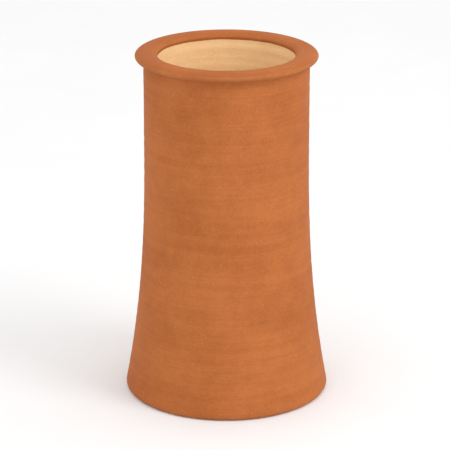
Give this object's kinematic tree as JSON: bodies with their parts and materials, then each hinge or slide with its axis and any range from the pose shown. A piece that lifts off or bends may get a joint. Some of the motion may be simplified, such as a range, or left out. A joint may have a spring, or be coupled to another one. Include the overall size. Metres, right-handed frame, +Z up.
{
  "type": "chimney pot",
  "caption": "Plain roll-top chimney pot of fired clay: a straight open neck with a flattened roll round its rim, sweeping out to a wide open foot.",
  "frame": {"origin": "centre of the underside of the foot, at floor level", "axes": "+Z up along the pot's axis, from the foot to the rim; the pot is round, so +X and +Y may point any way"},
  "size_m": [0.2622, 0.2622, 0.45],
  "materials": {
    "terracotta": "matt fired clay with a thin orange-brown slip, bare and paler inside"
  },
  "bodies": {
    "root": {"chimney_pot": "terracotta"}
  },
  "joints": []
}
